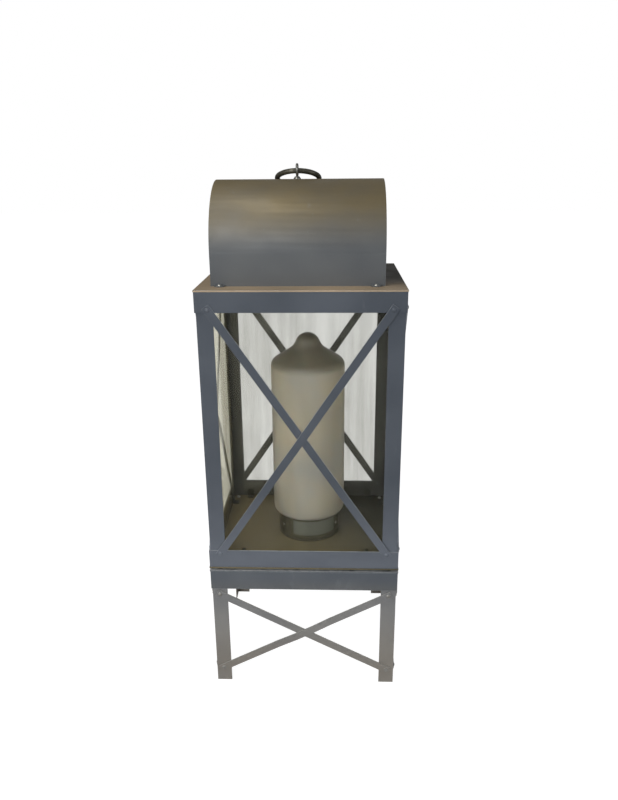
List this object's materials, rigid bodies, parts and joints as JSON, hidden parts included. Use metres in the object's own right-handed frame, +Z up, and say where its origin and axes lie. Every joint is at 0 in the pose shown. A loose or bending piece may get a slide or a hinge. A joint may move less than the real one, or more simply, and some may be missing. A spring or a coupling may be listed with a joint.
{
  "type": "outdoor table lamp",
  "caption": "Sheet metal table lantern with cross-braced glazed body, barrel roof, ring handle and opal candle lamp, standing loose on a braced stand.",
  "frame": {"origin": "on the ground, in the middle of the four feet, at the bottom centre of the bounding box", "axes": "+X to the object's right as seen from the front, +Y from the front to the rear, +Z up"},
  "size_m": [0.2548, 0.2228, 0.6901],
  "materials": {
    "frame_paint": "blue-grey metallic paint, satin, edges rubbed bright",
    "roof_paint": "blue-grey metallic paint, satin, soft worn streaks",
    "top_paint": "metallic paint browned by weather",
    "stand_paint": "lighter grey metallic paint, satin",
    "floor_paint": "olive brown weathered paint",
    "clear_glass": "clear, slightly smeared",
    "bright_steel": "dull bright",
    "ring_iron": "dark, rubbed smooth",
    "black_rubber": "matt",
    "base_metal": "satin",
    "opal_plastic": "opal, satin sheen",
    "bare_label": "plain, no print",
    "brass": "dull",
    "black_plastic": "matt",
    "cap_metal": "plain",
    "bulb_glass": "frosted white"
  },
  "bodies": {
    "stand": {"stand_ring": "stand_paint", "leg_front_left": "stand_paint", "leg_front_right": "stand_paint", "leg_rear_left": "stand_paint", "leg_rear_right": "stand_paint", "stand_brace_front_under": "stand_paint", "stand_brace_front_over": "stand_paint", "stand_brace_right_under": "stand_paint", "stand_brace_right_over": "stand_paint", "stand_brace_rear_under": "stand_paint", "stand_brace_rear_over": "stand_paint", "stand_brace_left_under": "stand_paint", "stand_brace_left_over": "stand_paint", "stand_rivets": "bright_steel"},
    "lantern": {"glides": "black_rubber", "glide_screws": "bright_steel", "floor_plate": "floor_paint", "lamp_plate": "floor_paint", "lamp_plate_screws": "bright_steel", "bottom_band": "frame_paint", "top_band": "frame_paint", "top_plate": "top_paint", "post_front_left": "frame_paint", "post_front_right": "frame_paint", "post_rear_left": "frame_paint", "post_rear_right": "frame_paint", "pane_front": "clear_glass", "pane_right": "clear_glass", "pane_rear": "clear_glass", "pane_left": "clear_glass", "lower_pane_clips": "bright_steel", "upper_pane_clips": "bright_steel", "brace_front_under": "frame_paint", "brace_front_over": "frame_paint", "brace_right_under": "frame_paint", "brace_right_over": "frame_paint", "brace_rear_under": "frame_paint", "brace_rear_over": "frame_paint", "brace_left_under": "frame_paint", "brace_left_over": "frame_paint", "body_rivets": "bright_steel", "roof_shell": "roof_paint", "roof_end_left": "roof_paint", "roof_end_right": "roof_paint", "roof_screws": "bright_steel", "eye_bolt": "bright_steel", "eye_collar": "bright_steel", "eye_washer": "bright_steel", "eye_nut": "bright_steel", "lamp_base": "base_metal", "grub_screws": "bright_steel", "label_plate": "bare_label", "opal_shade": "opal_plastic", "fixing_tube": "brass", "tube_nut": "brass", "inlet_bush": "black_plastic", "lampholder": "black_plastic", "bulb_cap": "cap_metal", "bulb_envelope": "bulb_glass"},
    "ring": {"handle_ring": "ring_iron"}
  },
  "joints": [
    {"name": "lantern_lift", "type": "slide", "parent": "stand", "child": "lantern", "axis": [0, 0, 1], "range_m": [0, 0.06]},
    {"name": "ring_swing", "type": "hinge", "parent": "lantern", "child": "ring", "pos_m": [-0.007, 0, 0.6812], "axis": [1, 0, 0], "range_deg": [0, 222.4]}
  ]
}
